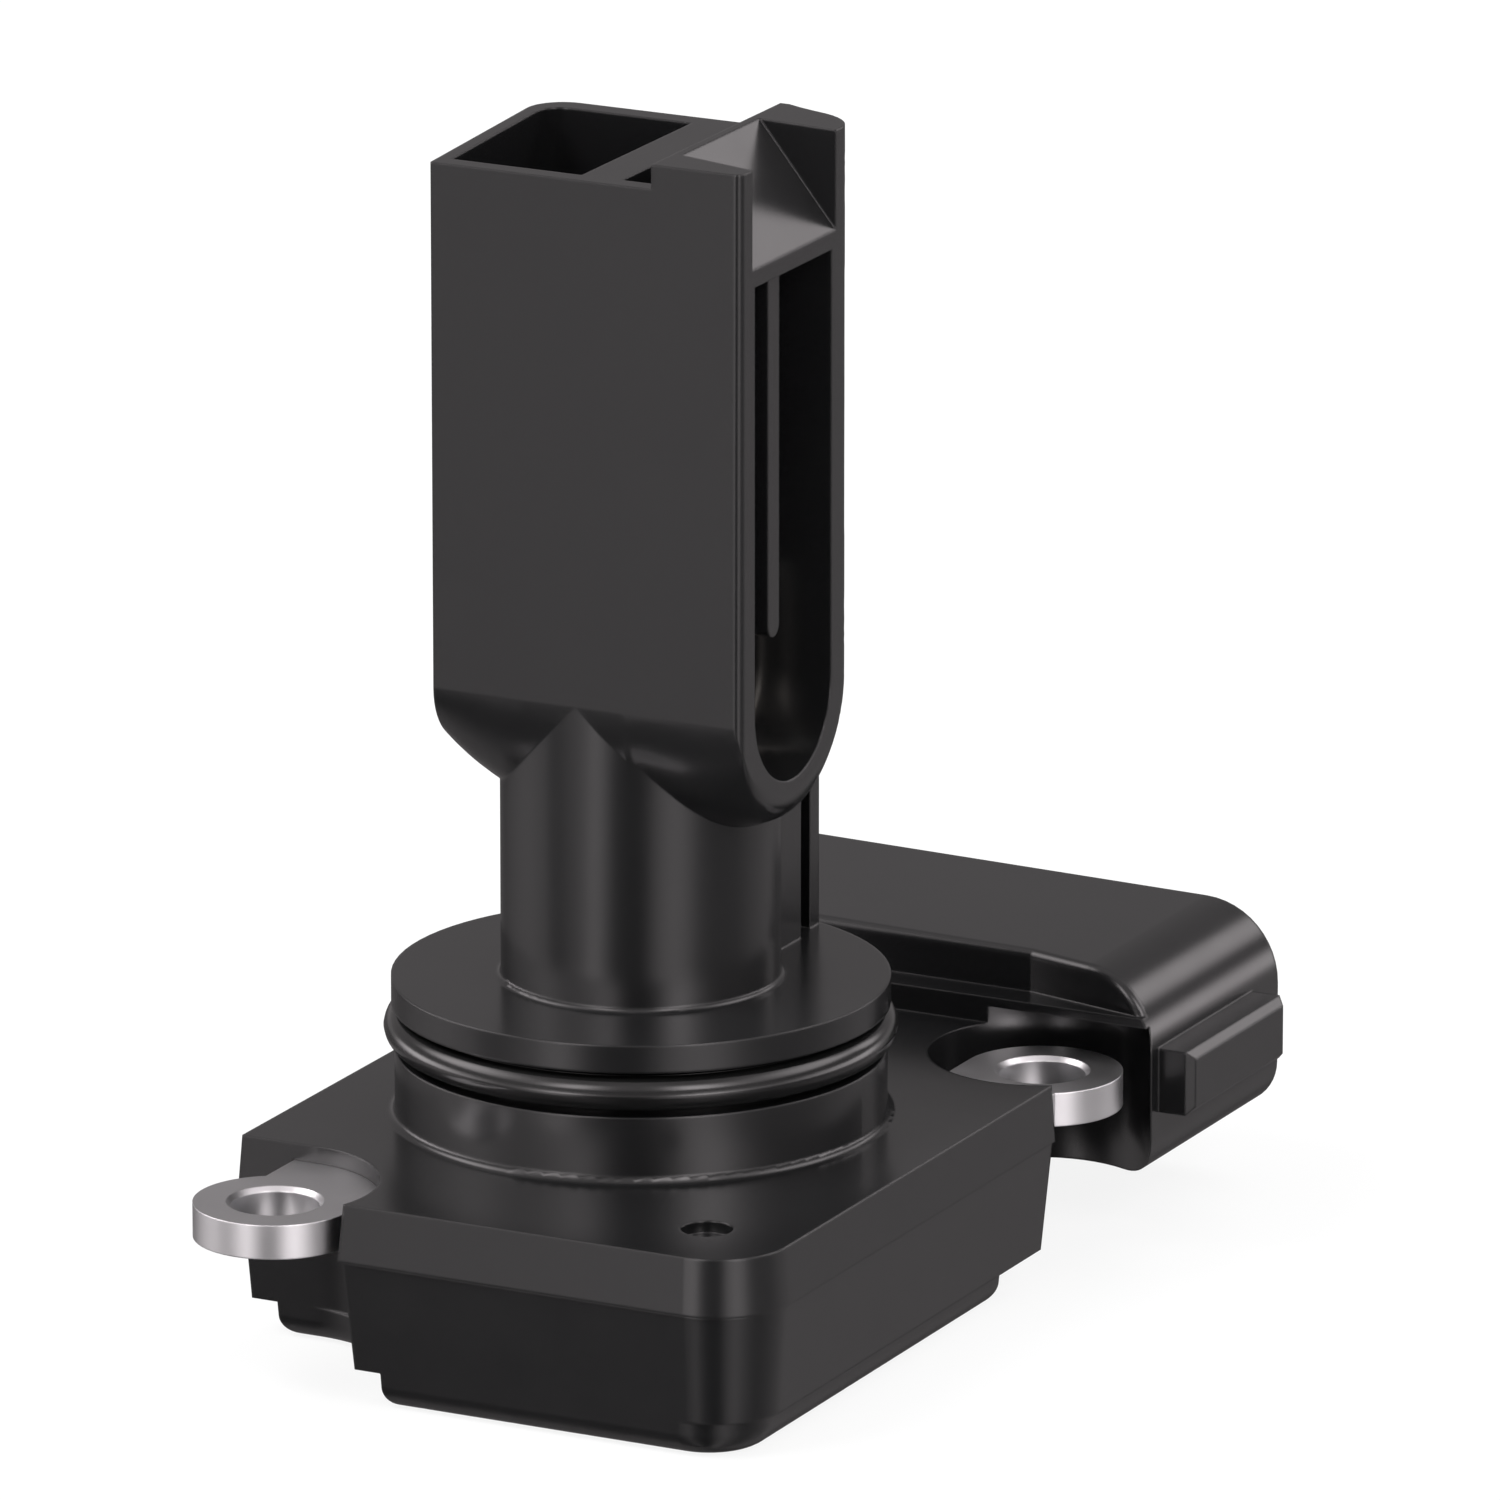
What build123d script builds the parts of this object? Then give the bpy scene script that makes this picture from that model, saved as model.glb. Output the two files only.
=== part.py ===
"""Plug-in mass airflow sensor: a moulded housing with a bypass duct, a spigot and a side connector.

The origin is on the spigot's axis, at the end face of its lip. +Z points along the spigot into the
air duct, +X towards the open inlet slot, and +Y towards the electrical connector.
"""

from build123d import *
from math import cos, radians, sin, tan
import os

# Spigot: the round collar that fills the hole in the air duct
lip_radius = 15.6
lip_thickness = 1.8
groove_width = 2.9
groove_radius = 13.83
collar_radius = 15.4
collar_height = 9.0
collar_core_radius = 12.1
collar_roof = 2.4
foot_fillet = 0.5
seat_z = -collar_height

# Sealing ring in the spigot's groove
ring_section = 2.2
ring_clearance = 0.02

# Neck between the spigot and the bypass duct
neck_radius = 8.75
neck_wall = 1.9
neck_fillet = 0.35
neck_bore_height = 17.0

# Bypass duct: outer form
duct_left_front = -9.9
duct_left_back = -11.2
duct_right = 11.45
duct_half_width = neck_radius
duct_keel_z = seat_z + 28.4
duct_top_z = seat_z + 61.9
nose_length = 8.2
nose_back_inset = 3.8
nose_keel_rise = 3.4
nose_keel_power = 2.8
duct_left_round = 7.4
duct_back_corner = 2.4
duct_front_corner = 0.5
tip_left = 5.3
tip_rise = 1.55

# Bypass duct: passages
inlet_half_width = 5.235
inlet_shift = -1.665
inlet_keel_z = seat_z + 28.75
inlet_top_z = seat_z + 56.0
partition_left = -0.1
partition_thickness = 2.8
turn_gap_z = seat_z + 32.0
outlet_wall = 0.9
outlet_front_wall = 1.25
outlet_back_wall = 1.45
outlet_corner = 1.5
slit_depth = 4.6
ramp_rim = 0.6
ramp_drop = 6.3
ramp_front_start = -5.5
ramp_front_end = -7.5
ramp_back_start = 4.75
ramp_back_end = 4.0
divider_front = -4.3
divider_thickness = 1.5
divider_recess = 0.4
divider_bottom_z = seat_z + 33.0

# Guard behind the neck for the intake air thermistor
guard_block_radius = 12.4
guard_block_half = 5.6
guard_wall_radius = 15.3
guard_wall_thickness = 1.2
guard_wall_half = 5.2
guard_window_height = 9.8
guard_height = 15.0
guard_chamfer = 1.2
bead_pocket_half = 2.4
bead_pocket_depth = 2.6

# Base: flange above the parting line, cover below it; its outline is given at the parting line
base_left = -20.0
base_right = 20.85
base_front = -25.75
base_back = 24.3
base_corner = 4.8
flange_depth = 3.7
draft_angle = 3.5
rim_wall = 1.6
back_rim = 4.8
cover_depth = 7.0
foot_depth = 2.3
foot_step_left = 1.8
foot_step_back = 3.9
foot_step_right = 0.6
foot_round = 1.5
cover_wall = 2.2
cover_floor = 1.5
parting_step = 0.18
sealant_width = 0.7
dimple_x = 14.7
dimple_y = -19.8
dimple_radius = 1.6
dimple_depth = 0.8

# Mounting plate and its two fixing ears
plate_top = 1.1
plate_thickness = 2.2
plate_clearance = 0.05
ear_left_x = -13.2
ear_left_y = -23.7
ear_right_x = 17.1
ear_right_y = 22.2
ear_radius = 5.1
ear_hole = 5.5
ear_chamfer = 0.3
tongue_width = 8.0
tongue_shift = 1.1
tongue_root = 1.0
notch_left_x = -14.46
notch_left_y = -23.2
notch_left_radius = 7.16
notch_right_x = 16.9
notch_right_y = 22.3
notch_right_radius = 6.87
shroud_notch_radius = 7.1
shroud_notch_top = 1.1
plate_hole_radius = 7.8
lead_hole_radius = 1.3

# Electrical connector
shroud_left = -14.0
shroud_right = 22.7
shroud_front = 26.5
shroud_back = 45.8
shroud_top = 4.25
shroud_rise = 0.55
shroud_bottom = -9.2
shroud_ledge = 1.7
shroud_ledge_depth = 2.3
shroud_ledge_end = 13.0
shroud_ledge_tip = 0.1
shroud_top_round = 5.2
shroud_bottom_round = 3.0
shroud_edge = 0.6
socket_front = 30.2
socket_wall = 1.7
socket_corner = 1.5
socket_depth = 14.0
pad_thickness = 2.4
pad_front = 27.5
pad_back = 41.5
pad_top = -0.4
pad_bottom = -4.6
pad_edge = 0.5
latch_length = 3.5
latch_width = 6.0
latch_height = 1.3
latch_set_back = 1.5

# Terminals of the connector
pin_count = 5
pin_pitch = 2.5
pin_size = 0.8
pin_reach = 8.5
pin_bend = 1.0
pin_tip_chamfer = 0.2
pin_row_z = -2.1
pin_column_start = 1.4
pin_column_pitch = 1.3
pin_drop_y = 20.4
pin_tail = 1.4

# Circuit on the underside of the mounting plate
board_left = -16.0
board_right = 17.0
board_front = -12.9
board_back = 11.8
board_thickness = 1.2
board_glue = 0.15
board_hole_radius = 7.8
chip_size = 7.0
chip_height = 1.5
chip_x = 12.6
package_edge = 0.3
switch_x = -12.0
switch_width = 6.6
switch_length = 9.5
switch_height = 2.3
switch_tab = 0.6
switch_tab_length = 2.4
cap_count = 4
cap_pitch = 4.4
cap_length = 3.2
cap_width = 1.6
cap_height = 1.25
cap_y = -11.8
resistor_count = 5
resistor_pitch = 3.1
resistor_length = 2.0
resistor_width = 1.25
resistor_height = 0.55
resistor_y = -9.7
lead_radius = 0.25
lead_sag = 1.3
lead_landing = 0.9
lead_weld_drop = 0.6

# Sensing element in the inlet passage
carrier_clearance = 0.1
carrier_flange_radius = 7.6
carrier_flange_depth = 1.4
post_radius = 0.45
post_clearance = 0.03
post_half_gap = 1.9
post_inset = 1.45
post_row_gap = 1.5
post_tail = 1.0
hot_post_top = seat_z + 33.5
cold_post_top = seat_z + 38.0
element_radius = 0.6
element_length = 2.2
element_lead_radius = 0.2
element_cap = 0.25
bead_radius = 0.95
bead_z = 4.8
bead_set_back = 1.4
bead_lead_radius = 0.22
bead_lead_half = 0.6
bead_lead_tail = 0.4

# How far a cutting body runs past the face that it cuts
overlap = 1.0

# Levels and places worked out from the sizes above
part_z = seat_z - flange_depth
plate_top_z = seat_z - plate_top
plate_bottom_z = plate_top_z - plate_thickness
cover_step_z = part_z - cover_depth
foot_z = cover_step_z - foot_depth
board_top_z = plate_bottom_z - board_glue
board_bottom_z = board_top_z - board_thickness
partition_right = partition_left + partition_thickness
tip_top_z = duct_top_z + tip_rise
neck_bore_radius = neck_radius - neck_wall
bore_top_z = seat_z + neck_bore_height
hot_post_x = neck_bore_radius - post_inset
cold_post_x = hot_post_x - post_row_gap
bead_y = guard_block_radius - bead_set_back
pin_z = seat_z + pin_row_z
pin_tail_z = part_z - pin_tail
socket_back = shroud_back - socket_wall
socket_low_z = seat_z + shroud_bottom + socket_wall
shroud_high_z = seat_z + shroud_top + shroud_rise
socket_high_z = shroud_high_z - socket_wall
socket_floor_x = shroud_left + socket_depth
pin_row_y = (socket_front + socket_back) / 2


def box(x_range, y_range, z_range):
    """Box between two values on each axis."""
    sizes = [high - low for low, high in (x_range, y_range, z_range)]
    centre = [(low + high) / 2 for low, high in (x_range, y_range, z_range)]
    return Pos(*centre) * Box(*sizes)


def upright(radius, low_z, high_z, x=0.0, y=0.0):
    """Upright cylinder between two levels."""
    return Pos(x, y, (low_z + high_z) / 2) * Cylinder(radius, high_z - low_z)


def prism(sketch, low_z, high_z):
    """Prism of a flat outline between two levels."""
    return Pos(0, 0, low_z) * extrude(sketch, high_z - low_z)


def inset_at(z):
    """How far the drafted base walls have moved in at a level, from their widest place at the parting line."""
    return abs(z - part_z) * tan(radians(draft_angle))


def left_notch(inset):
    """Notch around the left ear: a circle that runs straight out to the left."""
    radius = notch_left_radius + inset
    reach = base_right - base_left
    straight = Pos(notch_left_x - reach / 2, notch_left_y + radius - reach / 2) * Rectangle(reach, reach)
    return straight + Pos(notch_left_x, notch_left_y) * Circle(radius)


def right_notch(inset):
    """Notch around the right ear: a plain circle."""
    return Pos(notch_right_x, notch_right_y) * Circle(notch_right_radius + inset)


def base_outline(inset, back_inset=None):
    """Outline of the base: a rectangle with two round corners and two ear notches."""
    back_inset = inset if back_inset is None else back_inset
    low_x, high_x = base_left + inset, base_right - inset
    low_y, high_y = base_front + inset, base_back - back_inset
    outline = Pos((low_x + high_x) / 2, (low_y + high_y) / 2) * Rectangle(high_x - low_x, high_y - low_y)
    corners = outline.vertices()
    rounded = [corners.sort_by_distance(point)[0] for point in ((high_x, low_y), (low_x, high_y))]
    outline = fillet(rounded, max(base_corner - inset, 0.5))
    return outline - left_notch(inset) - right_notch(inset)


def drafted(low_z, high_z, inset=0.0):
    """Part of the base between two levels, with drafted walls set in by a fixed amount."""
    top = Pos(0, 0, high_z) * base_outline(inset + inset_at(high_z))
    bottom = Pos(0, 0, low_z) * base_outline(inset + inset_at(low_z))
    return loft([bottom, top], ruled=True)


def plate_outline(grow=0.0):
    """Outline of the mounting plate: the inside of the flange's rim with two ears on tongues."""
    outline = base_outline(rim_wall - grow, back_rim - grow)
    ears = ((ear_left_x, ear_left_y, notch_left_radius, 1), (ear_right_x, ear_right_y, notch_right_radius, -1))
    for ear_x, ear_y, notch_radius, side in ears:
        length = notch_radius + rim_wall + tongue_root
        tongue = Rectangle(tongue_width + 2 * grow, length)
        outline += Pos(ear_x + side * tongue_shift, ear_y + side * length / 2) * tongue
        outline += Pos(ear_x, ear_y) * Circle(ear_radius + grow)
    return outline


def keel_section(x, front, back, depth, keel_z, top_z):
    """Section across the duct at one place along X: straight sides on a rounded keel."""
    centre, half = (front + back) / 2, (back - front) / 2
    with BuildSketch(Plane.YZ.offset(x)) as section:
        with BuildLine():
            Polyline((front, keel_z), (front, top_z), (back, top_z), (back, keel_z))
            EllipticalCenterArc((centre, keel_z), half, depth, start_angle=180, arc_size=180)
        make_face()
    return section.sketch


def keel_run(low_x, high_x, front, back, depth, keel_z, top_z):
    """Straight stretch of duct or passage along X."""
    section = keel_section(low_x, front, back, depth, keel_z, top_z)
    return extrude(section, high_x - low_x)


def left_cap(end_x, round_radius, front, back, depth, keel_z, top_z):
    """Left end of the duct or its chamber, with the keel rounded up into the end wall."""
    sections = []
    for angle in (0, 25, 48, 68, 90):
        x = end_x + round_radius * (1 - sin(radians(angle)))
        rise = round_radius * (1 - cos(radians(angle)))
        sections.append(keel_section(x, front, back, depth - rise, keel_z, top_z))
    return loft(sections)


def nose():
    """Right end of the duct: the back wall and the keel curve in towards the inlet slot."""
    sections = []
    for angle in (0, 25, 48, 68, 80, 90):
        reach = sin(radians(angle))
        x = duct_right - nose_length * (1 - reach)
        back = duct_half_width - nose_back_inset * (1 - cos(radians(angle)))
        keel_share = 1 - (1 - reach ** nose_keel_power) ** (1 / nose_keel_power)
        depth = duct_half_width - nose_keel_rise * keel_share
        sections.append(keel_section(x, -duct_half_width, back, depth, duct_keel_z, tip_top_z))
    return loft(sections)


def left_wall_plan(inset, right_x, front, back, corner):
    """Plan of the duct or its chamber, with the slanting left wall and its round back corner."""
    slant = (duct_left_back - duct_left_front) / (2 * duct_half_width)
    left_front = duct_left_front + inset + slant * (front + duct_half_width)
    left_back = duct_left_front + inset + slant * (back + duct_half_width)
    plan = make_face(Polyline((left_front, front), (right_x, front), (right_x, back), (left_back, back),
                              close=True))
    vertex = plan.vertices().sort_by_distance((left_back, back))[0]
    return fillet(vertex, corner)


def duct_body():
    """Outer form of the bypass duct with its raised tip, before the passages are cut."""
    round_x = duct_left_back + duct_left_round
    nose_x = duct_right - nose_length
    width = (-duct_half_width, duct_half_width, duct_half_width, duct_keel_z, tip_top_z)
    body = keel_run(round_x, nose_x, *width) + nose()
    body += left_cap(duct_left_back, duct_left_round, *width)
    plan = left_wall_plan(0.0, duct_right, -duct_half_width, duct_half_width, duct_back_corner)
    vertex = plan.vertices().sort_by_distance((duct_right, -duct_half_width))[0]
    plan = fillet(vertex, duct_front_corner)
    body &= prism(plan, seat_z, tip_top_z + overlap)
    reach = duct_half_width + overlap
    return body - box((duct_left_back - overlap, tip_left), (-reach, reach), (duct_top_z, tip_top_z + overlap))


def outlet_chamber():
    """Chamber behind the partition, open at the duct's tip."""
    front = -duct_half_width + outlet_front_wall
    back = duct_half_width - outlet_back_wall
    depth = duct_half_width - outlet_back_wall
    inner_round = duct_left_round - outlet_wall
    width = (front, back, depth, duct_keel_z, tip_top_z + overlap)
    end_x = duct_left_back + outlet_wall
    chamber = keel_run(end_x + inner_round, partition_left, *width)
    chamber += left_cap(end_x, inner_round, *width)
    plan = left_wall_plan(outlet_wall, partition_left, front, back, outlet_corner)
    return chamber & prism(plan, seat_z, tip_top_z + overlap)


def inlet_passage():
    """Passage from the inlet slot to the partition, with its turn into the outlet chamber."""
    width = (inlet_shift - inlet_half_width, inlet_shift + inlet_half_width, inlet_half_width)
    passage = keel_run(partition_right, duct_right + overlap, *width, inlet_keel_z, inlet_top_z)
    passage += keel_run(partition_left - overlap, partition_right + overlap, *width, inlet_keel_z, turn_gap_z)
    return passage - divider()


def divider():
    """Flow divider that hangs in the inlet passage from its ceiling, with a round lower edge."""
    radius = divider_thickness / 2
    high_z = inlet_top_z + overlap
    section = Pos(divider_front + radius, (divider_bottom_z + radius + high_z) / 2)
    section *= Rectangle(divider_thickness, high_z - divider_bottom_z - radius)
    section += Pos(divider_front + radius, divider_bottom_z + radius) * Circle(radius)
    start_x = partition_right - overlap
    return extrude(Plane.YZ.offset(start_x) * section, duct_right - divider_recess - start_x)


def ramp_channel():
    """Channel in the tip whose floor ramps down to the end face, so that air is led over the tip."""
    start_x = tip_left + ramp_rim
    end_x = duct_right + overlap
    slope = ramp_drop / (duct_right - start_x)
    wedge = make_face(Polyline(
        (start_x, tip_top_z), (end_x, tip_top_z - slope * (end_x - start_x)),
        (end_x, tip_top_z + overlap), (start_x, tip_top_z + overlap), close=True))
    wedge = Pos(0, duct_half_width, 0) * extrude(Plane.XZ * wedge, 2 * duct_half_width)
    plan = make_face(Polyline(
        (start_x - overlap, ramp_front_start), (end_x, ramp_front_end), (end_x, ramp_back_end),
        (start_x - overlap, ramp_back_start), close=True))
    return wedge & prism(plan, seat_z, tip_top_z + overlap)


def strip_behind(half):
    """Strip of a given half width that runs from the axis to behind the guard."""
    reach = guard_wall_radius + overlap
    return Pos(0, reach / 2) * Rectangle(2 * half, reach)


def guard():
    """Guard on the lip behind the neck, with a window where the thermistor meets the air."""
    block = Circle(guard_block_radius) & strip_behind(guard_block_half)
    roof = Circle(guard_wall_radius) & strip_behind(guard_wall_half)
    wall = roof - Circle(guard_wall_radius - guard_wall_thickness)
    roof_solid = prism(roof, guard_window_height, guard_height)
    rear_edge = roof_solid.edges().group_by(Axis.Z)[-1].sort_by(Axis.Y)[-1]
    roof_solid = chamfer(rear_edge, guard_chamfer)
    solid = prism(block, 0, guard_height) + prism(wall, 0, guard_window_height) + roof_solid
    pocket_front = guard_block_radius - bead_pocket_depth
    pocket = box((-bead_pocket_half, bead_pocket_half), (pocket_front, guard_block_radius + bead_lead_tail),
                 (0, guard_window_height))
    return solid - pocket


def spigot():
    """Spigot and neck: lip, ring groove and collar, turned about the axis."""
    groove_top = -lip_thickness
    groove_bottom = groove_top - groove_width
    profile = make_face(Polyline(
        (0, part_z), (collar_radius, part_z), (collar_radius, groove_bottom),
        (groove_radius, groove_bottom), (groove_radius, groove_top), (lip_radius, groove_top),
        (lip_radius, 0), (neck_radius, 0), (neck_radius, duct_keel_z), (0, duct_keel_z), close=True))
    solid = revolve(Plane.XZ * profile, Axis.Z)
    circles = solid.edges().filter_by(GeomType.CIRCLE)
    foot = [edge for edge in circles if abs(edge.radius - neck_radius) < 0.01 and abs(edge.center().Z) < 0.01]
    return fillet(foot, neck_fillet)


def shroud():
    """Connector body: a long shroud with a ledge along its front and a pad on its closed end."""
    low_z = seat_z + shroud_bottom
    face = make_face(Polyline((shroud_left, low_z), (shroud_right, low_z), (shroud_right, seat_z + shroud_top),
                              (shroud_left, shroud_high_z), close=True))
    high = face.vertices().sort_by_distance((shroud_right, seat_z + shroud_top))[0]
    face = fillet(high, shroud_top_round)
    low = face.vertices().sort_by_distance((shroud_right, low_z))[0]
    face = fillet(low, shroud_bottom_round)
    body = Pos(0, shroud_back, 0) * extrude(Plane.XZ * face, shroud_back - shroud_front)
    body -= shroud_ledge_cut()
    top_face = body.faces().filter_by(lambda face: face.normal_at().Z > 0.9).sort_by(Axis.Z)[-1]
    long_edges = [edge for edge in top_face.edges() if abs(edge.tangent_at(0).X) > 0.9]
    body = fillet(long_edges, shroud_edge)
    return body + shroud_pad() + shroud_latch()


def shroud_ledge_cut():
    """Space above the ledge; the ledge tapers to nothing at the shroud's closed end."""
    wall_y = shroud_front + shroud_ledge_depth
    plan = make_face(Polyline(
        (shroud_left - overlap, shroud_front - overlap), (shroud_right, shroud_front - overlap),
        (shroud_right, shroud_front + shroud_ledge_tip), (shroud_ledge_end, wall_y),
        (shroud_left - overlap, wall_y), close=True))
    return prism(plan, seat_z + shroud_ledge, shroud_high_z + overlap)


def shroud_pad():
    """Raised pad on the shroud's closed end."""
    pad = box((shroud_right - overlap, shroud_right + pad_thickness), (pad_front, pad_back),
              (seat_z + pad_bottom, seat_z + pad_top))
    return chamfer(pad.edges().group_by(Axis.X)[-1], pad_edge)


def shroud_latch():
    """Wedge on top of the shroud's open end that the plug's latch snaps over."""
    start_x = shroud_left + latch_set_back
    end_x = start_x + latch_length
    top = shroud_high_z
    wedge = make_face(Polyline((start_x, top - overlap), (start_x, top), (end_x, top + latch_height),
                               (end_x, top - overlap), close=True))
    solid = extrude(Plane.XZ * wedge, latch_width)
    return Pos(0, pin_row_y + latch_width / 2, 0) * solid


def socket():
    """Inside of the connector, open towards -X."""
    width, height = socket_back - socket_front, socket_high_z - socket_low_z
    section = Pos((socket_front + socket_back) / 2, (socket_low_z + socket_high_z) / 2)
    section *= Rectangle(width, height)
    section = fillet(section.vertices(), socket_corner)
    return extrude(Plane.YZ.offset(shroud_left - overlap) * section, socket_depth + overlap)


def terminal(index):
    """One connector terminal: a pin in the socket, bent towards the base and down into it."""
    y = pin_row_y + (index - (pin_count - 1) / 2) * pin_pitch
    x = pin_column_start + index * pin_column_pitch
    tip_x = socket_floor_x - pin_reach
    path = FilletPolyline((tip_x, y, pin_z), (x, y, pin_z), (x, pin_drop_y, pin_z),
                          (x, pin_drop_y, pin_tail_z), radius=pin_bend)
    section = Plane(origin=(tip_x, y, pin_z), z_dir=(1, 0, 0)) * Rectangle(pin_size, pin_size)
    solid = sweep(section, path=path)
    return chamfer(solid.edges().group_by(Axis.X)[0], pin_tip_chamfer)


def post_places():
    """The four sensing posts: place in plan and level of the top."""
    places = []
    for x, top_z in ((hot_post_x, hot_post_top), (cold_post_x, cold_post_top)):
        for side in (-1, 1):
            places.append((x, side * post_half_gap, top_z))
    return places


def post(place):
    """One sensing post, from below the circuit board up into the inlet passage."""
    x, y, top_z = place
    return upright(post_radius, board_bottom_z - post_tail, top_z, x, y)


def sensing_element(x, top_z):
    """Wound element on its two leads, laid across the tops of a pair of posts."""
    body_half = element_length / 2
    lead_end = post_half_gap + post_radius / 2
    profile = make_face(Polyline(
        (-lead_end, 0), (-lead_end, element_lead_radius), (-body_half, element_lead_radius),
        (-body_half + element_cap, element_radius), (body_half - element_cap, element_radius),
        (body_half, element_lead_radius), (lead_end, element_lead_radius), (lead_end, 0), close=True))
    solid = revolve(Plane(origin=(x, 0, top_z + element_lead_radius), x_dir=(0, 1, 0), z_dir=(1, 0, 0))
                    * profile, Axis((x, 0, top_z + element_lead_radius), (0, 1, 0)))
    return solid


def bead_leads(grow=0.0):
    """The thermistor's two leads, from the circuit board up into the bead."""
    low_z = board_bottom_z - bead_lead_tail
    pair = [upright(bead_lead_radius + grow, low_z, bead_z, side * bead_lead_half, bead_y) for side in (-1, 1)]
    return pair[0] + pair[1]


def make_housing(terminals, posts):
    """The main moulding: duct, neck, spigot, flange and connector shroud in one piece."""
    flange = drafted(part_z, seat_z)
    bridge = box((shroud_left, ear_right_x), (base_back - back_rim, shroud_front + shroud_ledge_depth),
                 (part_z, seat_z))
    solid = flange + bridge + shroud() + spigot()
    circles = solid.edges().filter_by(GeomType.CIRCLE)
    foot = [edge for edge in circles
            if abs(edge.radius - collar_radius) < 0.01 and abs(edge.center().Z - seat_z) < 0.01]
    solid = fillet(foot, foot_fillet)
    solid = solid + duct_body() + guard()
    solid -= upright(shroud_notch_radius, seat_z + shroud_bottom - overlap, seat_z + shroud_notch_top,
                     notch_right_x, notch_right_y)
    solid -= inlet_passage()
    solid -= outlet_chamber()
    solid -= ramp_channel()
    solid -= box((partition_right, tip_left), (-duct_half_width + outlet_front_wall,
                 duct_half_width - outlet_back_wall), (duct_top_z - slit_depth, tip_top_z + overlap))
    solid -= prism(Circle(collar_core_radius) - Circle(neck_radius), part_z, -collar_roof)
    solid -= upright(neck_bore_radius, part_z - overlap, bore_top_z)
    solid -= upright(carrier_flange_radius + carrier_clearance, part_z - overlap, plate_top_z)
    solid -= prism(plate_outline(plate_clearance), plate_bottom_z, plate_top_z)
    solid -= prism(base_outline(rim_wall, back_rim), part_z - overlap, plate_bottom_z)
    groove = base_outline(rim_wall) - base_outline(rim_wall + sealant_width + plate_clearance)
    solid -= prism(groove, part_z - overlap, plate_bottom_z)
    solid -= socket()
    solid -= upright(dimple_radius, seat_z - dimple_depth, seat_z + overlap, dimple_x, dimple_y)
    for x, y, top_z in post_places():
        solid -= upright(post_radius + post_clearance, bore_top_z - overlap, top_z, x, y)
    solid -= bead_leads(post_clearance) & box((-bead_pocket_half, bead_pocket_half),
                                              (neck_radius, guard_wall_radius), (part_z, 0))
    for piece in terminals:
        solid -= piece
    return solid


def make_cover():
    """Deep cover under the flange, with a stepped foot that the sensor stands on."""
    step = (foot_step_left, -foot_step_back, 0)
    body = drafted(cover_step_z, part_z, parting_step)
    foot = drafted(foot_z, cover_step_z, parting_step)
    foot = (Pos(*step) * foot) & (Pos(-foot_step_right, 0, 0) * foot)
    foot = fillet(foot.edges().group_by(Axis.Z)[0], foot_round)
    inside_z = cover_step_z + cover_floor
    hollow = drafted(inside_z, part_z, parting_step + cover_wall)
    lower = drafted(foot_z + cover_floor, inside_z, parting_step + cover_wall)
    lower = (Pos(*step) * lower) & (Pos(-foot_step_right, 0, 0) * lower)
    return body + foot - (hollow + lower)


def make_sealant():
    """Bead of adhesive between the cover and the flange."""
    clearance = plate_clearance
    ring = base_outline(rim_wall + clearance) - base_outline(rim_wall + sealant_width)
    return prism(ring, part_z, plate_bottom_z)


def make_plate():
    """Aluminium mounting plate with its two fixing ears."""
    solid = prism(plate_outline(), plate_bottom_z, plate_top_z)
    solid -= upright(plate_hole_radius, plate_bottom_z, plate_top_z)
    solid -= upright(lead_hole_radius, plate_bottom_z, plate_top_z, 0, bead_y)
    for x, y in ((ear_left_x, ear_left_y), (ear_right_x, ear_right_y)):
        solid -= upright(ear_hole / 2, plate_bottom_z, plate_top_z, x, y)
    rims = [edge for edge in solid.edges().filter_by(GeomType.CIRCLE) if abs(edge.radius - ear_hole / 2) < 0.01]
    return chamfer(rims, ear_chamfer)


def make_ring():
    """Sealing ring in the spigot's groove."""
    radius = ring_section / 2
    return Pos(0, 0, -lip_thickness - groove_width / 2) * Torus(groove_radius + ring_clearance + radius, radius)


def board_blank(low_z, high_z):
    """Board-sized sheet with the hole that the pin carrier passes."""
    sheet = box((board_left, board_right), (board_front, board_back), (low_z, high_z))
    return sheet - upright(board_hole_radius, low_z, high_z)


def row_of(count, pitch, y, length, width, height):
    """Row of like components under the circuit board."""
    row = []
    for index in range(count):
        x = (index - (count - 1) / 2) * pitch
        row.append(box((x - length / 2, x + length / 2), (y - width / 2, y + width / 2),
                       (board_bottom_z - height, board_bottom_z)))
    return Compound(children=row)


def make_switch():
    """Power transistor: a moulded body on its metal tab."""
    low_y, high_y = -switch_length / 2, switch_length / 2
    across = (switch_x - switch_width / 2, switch_x + switch_width / 2)
    tab = box(across, (low_y, high_y), (board_bottom_z - switch_tab, board_bottom_z))
    body = box(across, (low_y + switch_tab_length, high_y),
               (board_bottom_z - switch_height, board_bottom_z - switch_tab / 2))
    return tab + chamfer(body.edges().group_by(Axis.Z)[0], package_edge)


def make_chip():
    """Control chip: a square moulded package."""
    half = chip_size / 2
    body = box((chip_x - half, chip_x + half), (-half, half), (board_bottom_z - chip_height, board_bottom_z))
    return chamfer(body.edges().group_by(Axis.Z)[0], package_edge)


def bonding_lead(start, end):
    """Wire between a terminal and the circuit board, sagging in one arc."""
    low_z = min(start[2], end[2]) - lead_sag
    middle = ((start[0] + end[0]) / 2, (start[1] + end[1]) / 2, low_z)
    path = ThreePointArc(start, middle, end)
    return sweep(Plane(origin=start, z_dir=path % 0) * Circle(lead_radius), path=path)


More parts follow.
